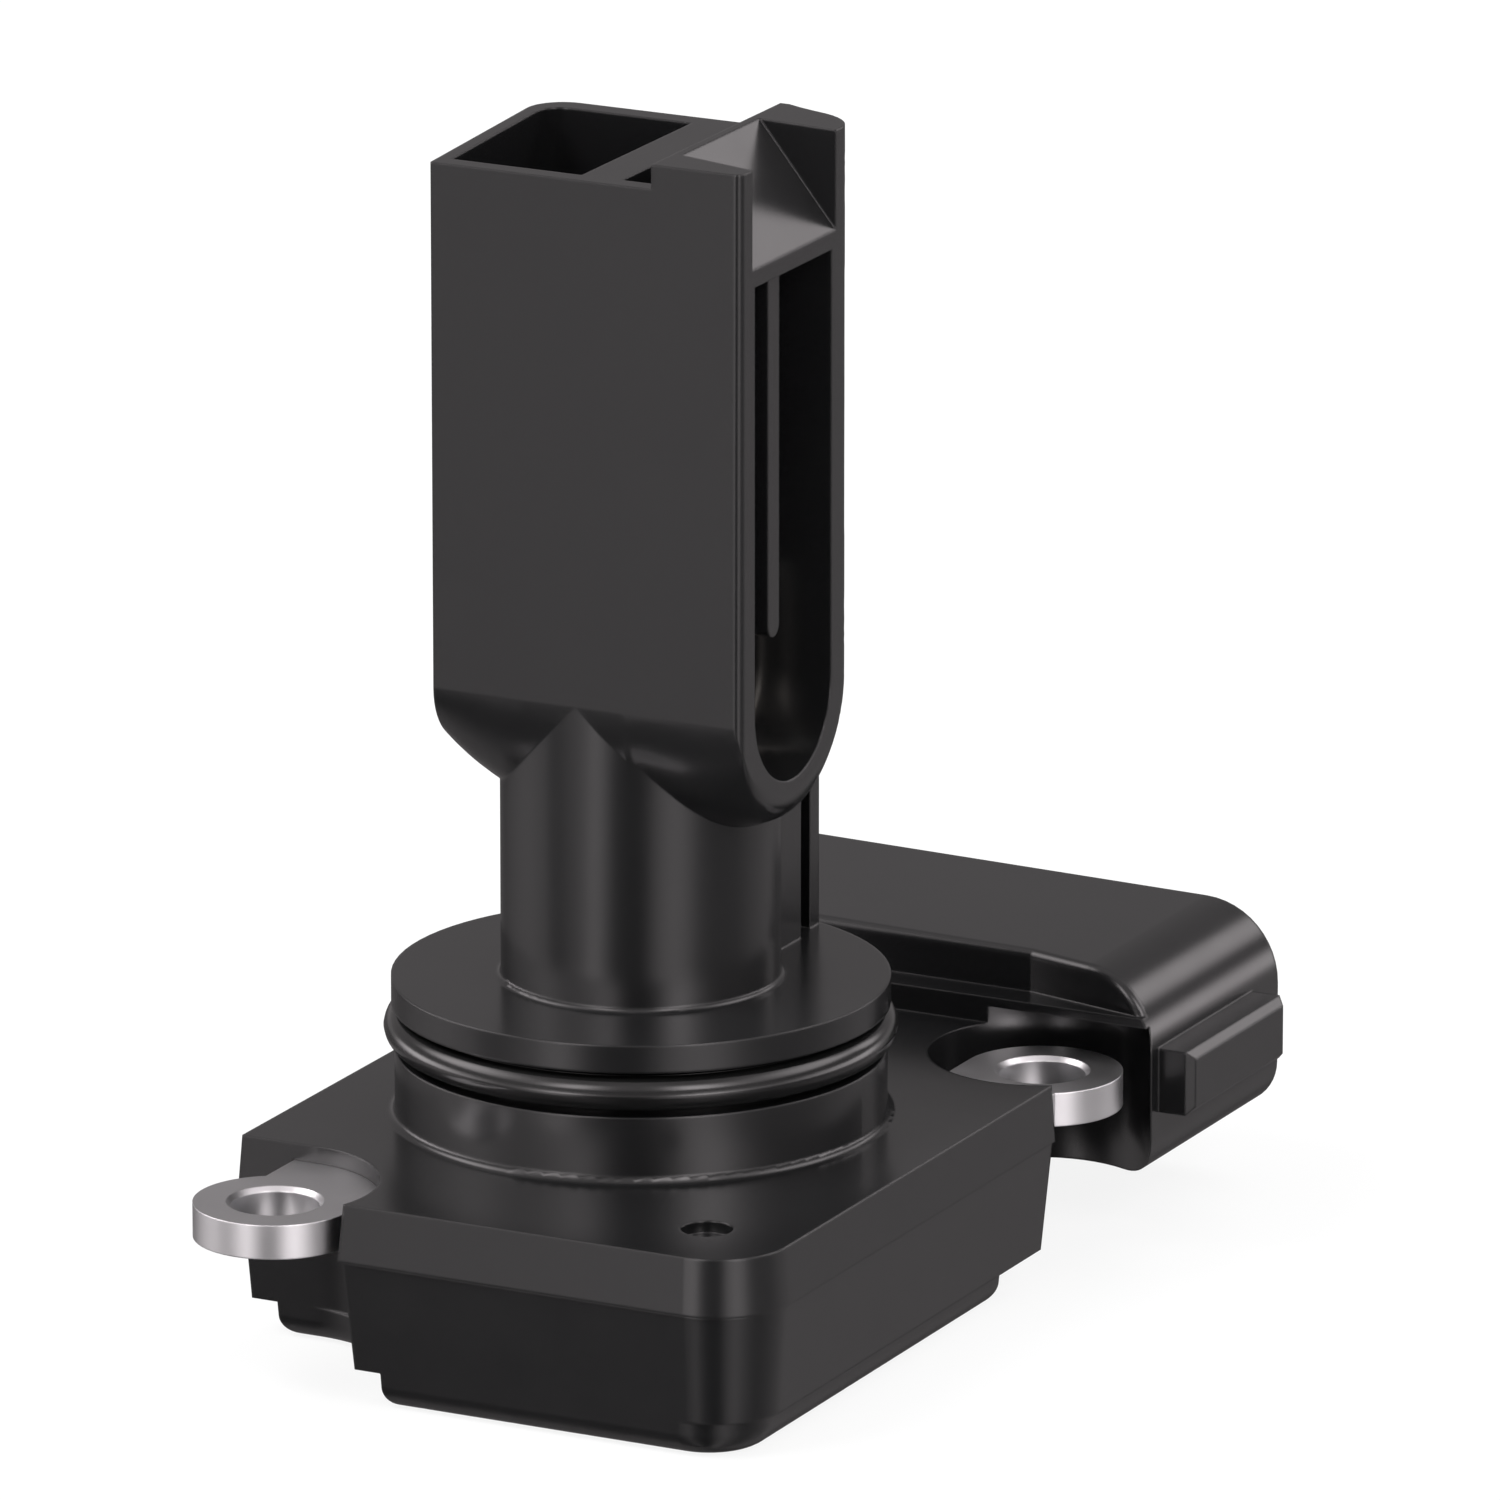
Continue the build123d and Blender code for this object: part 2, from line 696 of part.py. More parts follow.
def make_bonding_leads():
    """All bonding leads: one from each terminal's tail and one from each sensing post."""
    leads = []
    landing_z = board_bottom_z - lead_radius
    for index in range(pin_count):
        x = pin_column_start + index * pin_column_pitch
        leads.append(bonding_lead((x, pin_drop_y - pin_size / 2, pin_tail_z + lead_radius),
                                  (x, board_back - lead_landing, landing_z)))
    for x, y, _ in post_places():
        side = 1 if y > 0 else -1
        leads.append(bonding_lead((x, y + side * post_radius, board_bottom_z - lead_weld_drop),
                                  (x, side * (board_hole_radius + lead_landing), landing_z)))
    return Compound(children=leads)


def make_carrier():
    """Moulded carrier that holds the sensing posts in the neck's bore."""
    low_z = plate_top_z - carrier_flange_depth
    solid = upright(neck_bore_radius - carrier_clearance, low_z, bore_top_z)
    solid += upright(carrier_flange_radius, low_z, plate_top_z)
    for x, y, _ in post_places():
        solid -= upright(post_radius, low_z - overlap, bore_top_z + overlap, x, y)
    return solid


def main():
    """Build every piece and write each one to its own file."""
    terminals = [terminal(index) for index in range(pin_count)]
    posts = [post(place) for place in post_places()]
    bead = Pos(0, bead_y, bead_z) * Sphere(bead_radius)
    pieces = {
        "housing": make_housing(terminals, posts),
        "cover": make_cover(),
        "cover_sealant": make_sealant(),
        "o_ring": make_ring(),
        "mounting_plate": make_plate(),
        "board_adhesive": board_blank(board_top_z, plate_bottom_z) - bead_leads(post_clearance),
        "circuit_board": board_blank(board_bottom_z, board_top_z) - bead_leads(),
        "control_chip": make_chip(),
        "power_transistor": make_switch(),
        "ceramic_capacitors": row_of(cap_count, cap_pitch, cap_y, cap_length, cap_width, cap_height),
        "chip_resistors": row_of(resistor_count, resistor_pitch, resistor_y, resistor_length,
                                 resistor_width, resistor_height),
        "bonding_leads": make_bonding_leads(),
        "pin_carrier": make_carrier(),
        "hot_wire_element": sensing_element(hot_post_x, hot_post_top),
        "cold_wire_element": sensing_element(cold_post_x, cold_post_top),
        "thermistor_bead": bead,
        "thermistor_leads": bead_leads() - bead,
    }
    for index, piece in enumerate(terminals, start=1):
        pieces[f"connector_terminal_{index}"] = piece
    for index, piece in enumerate(posts, start=1):
        pieces[f"sensing_post_{index}"] = piece
    os.makedirs("parts", exist_ok=True)
    for name, piece in pieces.items():
        export_step(piece, f"parts/{name}.step")


main()
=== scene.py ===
"""Looks for a plug-in mass airflow sensor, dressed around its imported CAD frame."""
import logging
import math
from dataclasses import dataclass, field
from enum import Enum
from typing import Sequence

import bmesh
import bpy
from mathutils import Matrix, Vector


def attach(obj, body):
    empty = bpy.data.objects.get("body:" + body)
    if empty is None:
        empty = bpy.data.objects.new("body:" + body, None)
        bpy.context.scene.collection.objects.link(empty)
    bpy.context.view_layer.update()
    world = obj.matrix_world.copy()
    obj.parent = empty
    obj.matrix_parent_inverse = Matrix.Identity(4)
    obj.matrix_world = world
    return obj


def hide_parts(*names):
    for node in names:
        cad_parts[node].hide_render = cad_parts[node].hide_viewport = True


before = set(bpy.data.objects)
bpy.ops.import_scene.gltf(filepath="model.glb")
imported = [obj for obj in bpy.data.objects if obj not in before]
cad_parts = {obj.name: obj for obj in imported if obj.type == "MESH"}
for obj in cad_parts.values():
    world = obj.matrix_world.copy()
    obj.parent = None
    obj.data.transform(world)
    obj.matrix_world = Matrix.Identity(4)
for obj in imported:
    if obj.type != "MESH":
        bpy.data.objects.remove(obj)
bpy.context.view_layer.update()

LOG = logging.getLogger("airflow_sensor")
MM = 0.001
ROOT = "root"

Colour = tuple[float, float, float]
Rgba = tuple[float, float, float, float]
Point = tuple[float, float, float]
Input = float | Rgba | bpy.types.NodeSocket
Stops = tuple[tuple[float, float], ...]

LIGHT_TINT = (1.045, 0.985, 1.0)
TERMINALS = 5
POSTS = 4

GRAIN_SCALE = 9000.0
GRAIN_DETAIL = 3.0
WAVE_SCALE = 160.0
WAVE_DETAIL = 2.0
WAVE_SHARE = 0.3
MARKS_SCALE = 240.0
MARKS_AMOUNT = 0.1
MARKS_DETAIL = 5.0
MARKS_ROUGHNESS = 0.6
LINES_SCALE = 2500.0
LINES_DETAIL = 3.0
LINES_STRETCH = (1.0, 1.0, 0.04)
COAT_ROUGHNESS = 0.12
EDGE_SAMPLES = 6
MERGE_DISTANCE = 1e-7


class Layer(Enum):
    """A layer of the surroundings, which has greys of its own."""

    DEEP = "deep"
    LEVEL = "level"
    HIGH = "high"
    HAZE = "haze"
    GLOW = "glow"
    SKY = "sky"


Layers = tuple[tuple[Layer, float, float], ...]

# Azimuth in degrees from -Y towards +X, and the grey there.
COMPASS_GREYS: dict[Layer, Stops] = {
    Layer.DEEP: (
        (-180.0, 0.1), (-100.0, 0.3), (-80.0, 0.4), (-56.0, 0.3), (-40.0, 0.08), (-24.0, 0.08), (-10.0, 0.55),
        (2.0, 0.15), (14.0, 0.02), (30.0, 0.02), (42.0, 0.5), (54.0, 0.8), (66.0, 0.5), (90.0, 0.2), (125.0, 0.35),
        (155.0, 0.4), (180.0, 0.15)),
    Layer.LEVEL: (
        (-180.0, 0.15), (-116.0, 0.12), (-98.0, 0.34), (-84.0, 0.6), (-72.0, 0.82), (-56.0, 0.8), (-51.0, 0.42),
        (-42.0, 0.36), (-34.0, 0.6), (-29.0, 0.88), (-24.0, 0.9), (-16.0, 1.9), (-10.0, 2.1), (-5.0, 1.4),
        (4.0, 0.2), (14.0, 0.1), (27.0, 0.06), (33.0, 0.4), (40.0, 1.3), (54.0, 1.75), (64.0, 1.35), (76.0, 0.46),
        (88.0, 0.28), (112.0, 0.26), (130.0, 0.42), (155.0, 0.38), (180.0, 0.15)),
    Layer.HIGH: (
        (-180.0, 0.25), (-116.0, 0.25), (-98.0, 1.0), (-88.0, 1.6), (-76.0, 2.6), (-62.0, 4.2), (-52.0, 4.6),
        (-42.0, 3.6), (-32.0, 3.2), (-22.0, 3.6), (-12.0, 4.8), (-4.0, 6.4), (2.0, 6.2), (8.0, 3.4), (14.0, 0.8),
        (20.0, 0.3), (30.0, 0.3), (36.0, 0.8), (42.0, 2.4), (49.0, 6.4), (57.0, 9.6), (65.0, 8.4), (74.0, 4.2),
        (84.0, 1.9), (94.0, 1.1), (112.0, 0.9), (130.0, 0.5), (155.0, 0.3), (180.0, 0.25)),
    Layer.HAZE: (
        (-180.0, 0.25), (-100.0, 0.3), (-60.0, 0.5), (-10.0, 0.55), (20.0, 0.3), (60.0, 0.5), (100.0, 0.35),
        (155.0, 0.27), (180.0, 0.25)),
    Layer.GLOW: (
        (-180.0, 0.3), (-112.0, 0.4), (-100.0, 3.0), (-86.0, 5.0), (-68.0, 4.4), (-58.0, 3.4), (-46.0, 2.4),
        (-38.0, 1.4), (-28.0, 1.3), (-20.0, 3.0), (-12.0, 6.4), (-4.0, 6.4), (3.0, 3.2), (8.0, 1.4), (14.0, 0.7),
        (36.0, 0.7), (43.0, 3.0), (50.0, 7.2), (58.0, 7.2), (66.0, 4.6), (74.0, 2.2), (84.0, 1.6), (92.0, 1.5),
        (104.0, 2.4), (116.0, 3.4), (146.0, 3.4), (160.0, 0.6), (180.0, 0.3)),
}
# Sine of the elevation, and the grey there.
SKY_GREYS: Stops = ((0.0, 0.3), (0.45, 0.3), (0.6, 0.5), (0.8, 0.8), (1.0, 0.7))
# Each layer covers the one before it between two sines of the elevation.
FIRST_LAYERS: Layers = (
    (Layer.LEVEL, -0.37, -0.30), (Layer.GLOW, -0.09, -0.01), (Layer.HAZE, 0.10, 0.18), (Layer.GLOW, 0.42, 0.58),
    (Layer.SKY, 0.72, 0.90))
LATER_LAYERS: Layers = (
    (Layer.LEVEL, -0.37, -0.30), (Layer.HIGH, -0.10, 0.10), (Layer.SKY, 0.72, 0.90))


class EffectGroup:
    """A shader node group with named sockets, built once and placed in many materials."""

    def __init__(self, name: str) -> None:
        """Makes an empty group.

        Args:
            name: Name of the group.
        """
        self.tree = bpy.data.node_groups.new(name, "ShaderNodeTree")
        self.entry = self.tree.nodes.new("NodeGroupInput")
        self.exit = self.tree.nodes.new("NodeGroupOutput")

    def takes(self, name: str, value: float) -> bpy.types.NodeSocket:
        """Adds an input with a default value.

        Args:
            name: Name of the input.
            value: Its default.

        Returns:
            The socket inside the group that carries the input.
        """
        socket = self.tree.interface.new_socket(name=name, in_out="INPUT", socket_type="NodeSocketFloat")
        socket.default_value = value
        return self.entry.outputs[name]

    def gives(self, name: str, source: bpy.types.NodeSocket) -> None:
        """Adds an output.

        Args:
            name: Name of the output.
            source: Socket inside the group that feeds it.
        """
        self.tree.interface.new_socket(name=name, in_out="OUTPUT", socket_type="NodeSocketFloat")
        self.tree.links.new(source, self.exit.inputs[name])

    def node(self, kind: str, **settings: object) -> bpy.types.Node:
        """Adds a node and sets its properties.

        Args:
            kind: Blender's name for the node type.
            **settings: Properties of the node.

        Returns:
            The new node.
        """
        return add_node(self.tree, kind, **settings)

    def join(self, source: bpy.types.NodeSocket, target: bpy.types.NodeSocket) -> None:
        """Links two sockets."""
        self.tree.links.new(source, target)

    def place(self, tree: bpy.types.NodeTree, **values: float) -> bpy.types.Node:
        """Places the group in a material with its own values.

        Args:
            tree: The material's tree.
            **values: Values of its inputs, by name.

        Returns:
            The placed group.
        """
        node = add_node(tree, "ShaderNodeGroup", node_tree=self.tree)
        for name, value in values.items():
            node.inputs[name].default_value = value
        return node


def direction(azimuth: float, elevation: float) -> Vector:
    """Gives the unit vector that points away from the object.

    Args:
        azimuth: Degrees from -Y towards +X.
        elevation: Degrees above the horizon.

    Returns:
        The vector.
    """
    turn, rise = math.radians(azimuth), math.radians(elevation)
    return Vector((math.sin(turn) * math.cos(rise), -math.cos(turn) * math.cos(rise), math.sin(rise)))


def add_object(name: str, data: bpy.types.ID) -> bpy.types.Object:
    """Adds an object to the scene.

    Args:
        name: Name of the object.
        data: Its mesh, camera or lamp.

    Returns:
        The new object.
    """
    added = bpy.data.objects.new(name, data)
    bpy.context.scene.collection.objects.link(added)
    return added


def add_node(tree: bpy.types.NodeTree, kind: str, **settings: object) -> bpy.types.Node:
    """Adds a node to a tree and sets its properties.

    Args:
        tree: Tree that gets the node.
        kind: Blender's name for the node type.
        **settings: Properties of the node.

    Returns:
        The new node.
    """
    node = tree.nodes.new(kind)
    for name, value in settings.items():
        setattr(node, name, value)
    return node


def feed(tree: bpy.types.NodeTree, value: Input, socket: bpy.types.NodeSocket) -> None:
    """Links a socket to an input, or gives the input a value of its own.

    Args:
        tree: Tree that holds both.
        value: Socket, number or colour for the input.
        socket: The input.
    """
    if isinstance(value, bpy.types.NodeSocket):
        tree.links.new(value, socket)
    else:
        socket.default_value = value


def math_node(tree: bpy.types.NodeTree, operation: str, *values: Input, clamp: bool = False) -> bpy.types.NodeSocket:
    """Adds a Math node.

    Args:
        tree: Tree that gets the node.
        operation: Name of the operation.
        *values: Sockets or numbers for its inputs.
        clamp: Whether the result is kept between 0 and 1.

    Returns:
        The node's result.
    """
    node = add_node(tree, "ShaderNodeMath", operation=operation, use_clamp=clamp)
    for socket, value in zip(node.inputs, values):
        feed(tree, value, socket)
    return node.outputs[0]


def plain_grey(level: float) -> Rgba:
    """Gives a grey without a tint."""
    return (level, level, level, 1.0)


def light_grey(level: float) -> Rgba:
    """Gives a grey in the tint of the studio's light."""
    return (*(level * share for share in LIGHT_TINT), 1.0)


def grey_ramp(tree: bpy.types.NodeTree, source: bpy.types.NodeSocket,
              greys: Sequence[tuple[float, float]]) -> bpy.types.NodeSocket:
    """Adds a ramp of greys.

    Args:
        tree: Tree that gets the node.
        source: Socket that picks the place on the ramp.
        greys: Place and grey of each stop, in order.

    Returns:
        The ramp's colour.
    """
    ramp = add_node(tree, "ShaderNodeValToRGB")
    stops = ramp.color_ramp.elements
    for index, (place, grey) in enumerate(greys):
        stop = stops[index] if index < len(stops) else stops.new(place)
        stop.position = place
        stop.color = light_grey(grey)
    tree.links.new(source, ramp.inputs[0])
    return ramp.outputs["Color"]


def smooth_rise(tree: bpy.types.NodeTree, source: bpy.types.NodeSocket,
                ends: tuple[float, float]) -> bpy.types.NodeSocket:
    """Adds a smooth step from 0 to 1.

    Args:
        tree: Tree that gets the node.
        source: Socket with the value that is stepped.
        ends: Values at which the step starts and ends.

    Returns:
        The step's result.
    """
    rise = add_node(tree, "ShaderNodeMapRange", interpolation_type="SMOOTHSTEP")
    rise.inputs["From Min"].default_value, rise.inputs["From Max"].default_value = ends
    tree.links.new(source, rise.inputs["Value"])
    return rise.outputs["Result"]


def blended(tree: bpy.types.NodeTree, share: Input, first: Input, second: Input) -> bpy.types.NodeSocket:
    """Adds a blend of two colours.

    Args:
        tree: Tree that gets the node.
        share: Share of the second colour.
        first: The first colour.
        second: The second colour.

    Returns:
        The blended colour.
    """
    blend = add_node(tree, "ShaderNodeMix", data_type="RGBA")
    for value, name in ((share, "Factor"), (first, "A"), (second, "B")):
        feed(tree, value, blend.inputs[name])
    return blend.outputs["Result"]


def mixed_shaders(tree: bpy.types.NodeTree, share: Input, first: bpy.types.NodeSocket,
                  second: bpy.types.NodeSocket) -> bpy.types.NodeSocket:
    """Adds a mix of two shaders.

    Args:
        tree: Tree that gets the node.
        share: Share of the second shader.
        first: The first shader.
        second: The second shader.

    Returns:
        The mixed shader.
    """
    mix = add_node(tree, "ShaderNodeMixShader")
    for value, socket in zip((share, first, second), mix.inputs):
        feed(tree, value, socket)
    return mix.outputs[0]


def moulded_grain() -> EffectGroup:
    """Fine spark-eroded grain of a moulding, with a slight long wave under it.

    Returns:
        The group, with a Height and a Patches output.
    """
    group = EffectGroup("moulded_grain")
    scale = group.takes("Scale", GRAIN_SCALE)
    wave = group.takes("Wave", WAVE_SHARE)
    place = group.node("ShaderNodeTexCoord")
    fine = group.node("ShaderNodeTexNoise")
    fine.inputs["Detail"].default_value = GRAIN_DETAIL
    group.join(place.outputs["Object"], fine.inputs["Vector"])
    group.join(scale, fine.inputs["Scale"])
    slow = group.node("ShaderNodeTexNoise")
    slow.inputs["Scale"].default_value = WAVE_SCALE
    slow.inputs["Detail"].default_value = WAVE_DETAIL
    group.join(place.outputs["Object"], slow.inputs["Vector"])
    waved = math_node(group.tree, "MULTIPLY_ADD", slow.outputs[0], wave, fine.outputs[0])
    group.gives("Height", waved)
    group.gives("Patches", slow.outputs[0])
    return group


def handling_marks() -> EffectGroup:
    """Faint smears and flow marks that change the gloss of a surface from place to place.

    Returns:
        The group, with a Marks output around 0.
    """
    group = EffectGroup("handling_marks")
    scale = group.takes("Scale", MARKS_SCALE)
    amount = group.takes("Amount", MARKS_AMOUNT)
    place = group.node("ShaderNodeTexCoord")
    noise = group.node("ShaderNodeTexNoise")
    noise.inputs["Detail"].default_value = MARKS_DETAIL
    noise.inputs["Roughness"].default_value = MARKS_ROUGHNESS
    group.join(place.outputs["Object"], noise.inputs["Vector"])
    group.join(scale, noise.inputs["Scale"])
    centred = math_node(group.tree, "SUBTRACT", noise.outputs[0], 0.5)
    group.gives("Marks", math_node(group.tree, "MULTIPLY", centred, amount))
    return group


def drawn_lines() -> EffectGroup:
    """Fine parallel lines along Z, such as a stamped edge shows where the punch has sheared it.

    Returns:
        The group, with a Lines output from 0 to 1.
    """
    group = EffectGroup("drawn_lines")
    scale = group.takes("Scale", LINES_SCALE)
    place = group.node("ShaderNodeTexCoord")
    stretch = group.node("ShaderNodeMapping")
    stretch.inputs["Scale"].default_value = LINES_STRETCH
    noise = group.node("ShaderNodeTexNoise")
    noise.inputs["Detail"].default_value = LINES_DETAIL
    group.join(place.outputs["Object"], stretch.inputs["Vector"])
    group.join(stretch.outputs["Vector"], noise.inputs["Vector"])
    group.join(scale, noise.inputs["Scale"])
    group.gives("Lines", noise.outputs[0])
    return group


@dataclass
class Effects:
    """The node groups that the finishes share."""

    grain: EffectGroup = field(default_factory=moulded_grain)
    marks: EffectGroup = field(default_factory=handling_marks)
    lines: EffectGroup = field(default_factory=drawn_lines)


@dataclass(frozen=True)
class Finish:
    """A surface with two close colours in patches, a gloss that varies, and a fine relief.

    The grain's height and the edges' radius are in millimetres.
    """

    name: str
    colour: Colour
    second: Colour
    roughness: float
    metallic: float = 0.0
    marks: float = MARKS_AMOUNT
    grain_scale: float = GRAIN_SCALE
    grain_height: float = 0.0015
    edge_radius: float = 0.0
    coat: float = 0.0
    sheared: float = 0.0

    def build(self, effects: Effects) -> bpy.types.Material:
        """Builds the material.

        Args:
            effects: The shared node groups.

        Returns:
            The material.
        """
        material = bpy.data.materials.new(self.name)
        material.use_nodes = True
        tree = material.node_tree
        shader = tree.nodes["Principled BSDF"]
        shader.inputs["Metallic"].default_value = self.metallic
        if self.coat:
            shader.inputs["Coat Weight"].default_value = self.coat
            shader.inputs["Coat Roughness"].default_value = COAT_ROUGHNESS
        grain = effects.grain.place(tree, Scale=self.grain_scale)
        marks = effects.marks.place(tree, Amount=self.marks)
        rough = math_node(tree, "ADD", marks.outputs["Marks"], self.roughness, clamp=True)
        tree.links.new(rough, shader.inputs["Roughness"])
        patches = blended(tree, grain.outputs["Patches"], (*self.colour, 1.0), (*self.second, 1.0))
        tree.links.new(patches, shader.inputs["Base Color"])
        height = grain.outputs["Height"]
        if self.sheared:
            lines = effects.lines.place(tree)
            height = math_node(tree, "MULTIPLY_ADD", lines.outputs["Lines"], self.sheared, height)
        bump = add_node(tree, "ShaderNodeBump")
        bump.inputs["Distance"].default_value = self.grain_height * MM
        tree.links.new(height, bump.inputs["Height"])
        if self.edge_radius:
            edge = add_node(tree, "ShaderNodeBevel", samples=EDGE_SAMPLES)
            edge.inputs["Radius"].default_value = self.edge_radius * MM
            tree.links.new(edge.outputs["Normal"], bump.inputs["Normal"])
        tree.links.new(bump.outputs["Normal"], shader.inputs["Normal"])
        return material


BLACK = (0.0068, 0.0068, 0.0073)
BLACK_SECOND = (0.0084, 0.0083, 0.0086)

HOUSING_PLASTIC = Finish("housing_plastic", BLACK, BLACK_SECOND, 0.22, marks=0.06, edge_radius=0.22)
# The cover is the housing's black plastic made a little darker: painted shade for the darker look of the cover's
# walls below the parting line.
SHADED_COVER_PLASTIC = Finish("cover_plastic_painted_shade", (0.0062, 0.0062, 0.0067), (0.0078, 0.0078, 0.0081), 0.22, marks=0.08,
                       edge_radius=0.22)
CARRIER_PLASTIC = Finish("carrier_plastic", BLACK, BLACK_SECOND, 0.4)
RING_RUBBER = Finish("ring_rubber", (0.006, 0.006, 0.006), (0.008, 0.008, 0.008), 0.2, marks=0.06,
                     grain_scale=5000.0, grain_height=0.003)
SEALANT = Finish("sealant", (0.10, 0.10, 0.10), (0.13, 0.13, 0.13), 0.55)
PLATE_METAL = Finish("plate_metal", (0.72, 0.72, 0.73), (0.60, 0.60, 0.61), 0.36, metallic=1.0, marks=0.14,
                     grain_scale=4000.0, grain_height=0.003, edge_radius=0.12, sheared=0.6)
ADHESIVE = Finish("adhesive", (0.70, 0.70, 0.66), (0.62, 0.62, 0.58), 0.6)
BOARD_LAMINATE = Finish("board_laminate", (0.02, 0.12, 0.06), (0.03, 0.15, 0.08), 0.35, coat=0.3)
CHIP_BODY = Finish("chip_body", (0.02, 0.02, 0.022), (0.03, 0.03, 0.03), 0.5)
CERAMIC = Finish("ceramic", (0.50, 0.36, 0.22), (0.44, 0.31, 0.19), 0.45)
RESISTOR_BODY = Finish("resistor_body", (0.03, 0.03, 0.035), (0.04, 0.04, 0.05), 0.3)
TERMINAL_TIN = Finish("terminal_tin", (0.72, 0.68, 0.58), (0.60, 0.56, 0.47), 0.28, metallic=1.0)
LEAD_METAL = Finish("lead_metal", (0.80, 0.80, 0.80), (0.70, 0.70, 0.70), 0.2, metallic=1.0)
POST_METAL = Finish("post_metal", (0.60, 0.58, 0.54), (0.52, 0.50, 0.46), 0.3, metallic=1.0)
ELEMENT_GLAZE = Finish("element_glaze", (0.62, 0.62, 0.60), (0.55, 0.55, 0.52), 0.25, coat=0.4)
BEAD_GLASS = Finish("bead_glass", (0.03, 0.03, 0.035), (0.05, 0.05, 0.05), 0.12, coat=0.8)
WELD_METAL = Finish("weld_metal", (0.66, 0.64, 0.60), (0.50, 0.48, 0.45), 0.32, metallic=1.0)

NODE_FINISHES: dict[str, Finish] = {
    "housing": HOUSING_PLASTIC,
    "cover": SHADED_COVER_PLASTIC,
    "cover_sealant": SEALANT,
    "o_ring": RING_RUBBER,
    "mounting_plate": PLATE_METAL,
    "board_adhesive": ADHESIVE,
    "circuit_board": BOARD_LAMINATE,
    "control_chip": CHIP_BODY,
    "power_transistor": CHIP_BODY,
    "ceramic_capacitors": CERAMIC,
    "chip_resistors": RESISTOR_BODY,
    "bonding_leads": LEAD_METAL,
    "pin_carrier": CARRIER_PLASTIC,
    "hot_wire_element": ELEMENT_GLAZE,
    "cold_wire_element": ELEMENT_GLAZE,
    "thermistor_bead": BEAD_GLASS,
    "thermistor_leads": POST_METAL,
    **{f"connector_terminal_{number}": TERMINAL_TIN for number in range(1, TERMINALS + 1)},
    **{f"sensing_post_{number}": POST_METAL for number in range(1, POSTS + 1)},
}


@dataclass(frozen=True)
class Lamp:
    """A soft rectangular lamp that faces the object."""

    name: str
    azimuth: float
    elevation: float
    distance: float
    width: float
    height: float
    strength: float

    def place(self, target: Vector) -> None:
        """Adds the lamp to the scene.

        Args:
            target: Point that the lamp faces.
        """
        light = bpy.data.lights.new(self.name, "AREA")
        light.shape = "RECTANGLE"
        light.size = self.width
        light.size_y = self.height
        light.energy = self.strength
        lamp = add_object(self.name, light)
        lamp.visible_glossy = False
        away = direction(self.azimuth, self.elevation)
        lamp.location = target + away * self.distance
        lamp.rotation_euler = (-away).to_track_quat("-Z", "Y").to_euler()


@dataclass(frozen=True)
class Window:
    """A round bright patch of the surroundings, with a soft rim between two radii in degrees."""

    azimuth: float = 160.5
    elevation: float = 26.0
    inner: float = 3.0
    outer: float = 12.0
    grey: float = 2.6

    def add(self, tree: bpy.types.NodeTree, looked: bpy.types.NodeSocket,
            around: bpy.types.NodeSocket) -> bpy.types.NodeSocket:
        """Adds the window to the surroundings.

        Args:
            tree: The world's tree.
            looked: Socket with the direction that is looked in.
            around: Colour of the surroundings without the window.

        Returns:
            The colour with the window in it.
        """
        near = add_node(tree, "ShaderNodeVectorMath", operation="DOT_PRODUCT")
        tree.links.new(looked, near.inputs[0])
        near.inputs[1].default_value = direction(self.azimuth, self.elevation)
        ends = (math.cos(math.radians(self.outer)), math.cos(math.radians(self.inner)))
        return blended(tree, smooth_rise(tree, near.outputs["Value"], ends), around, light_grey(self.grey))


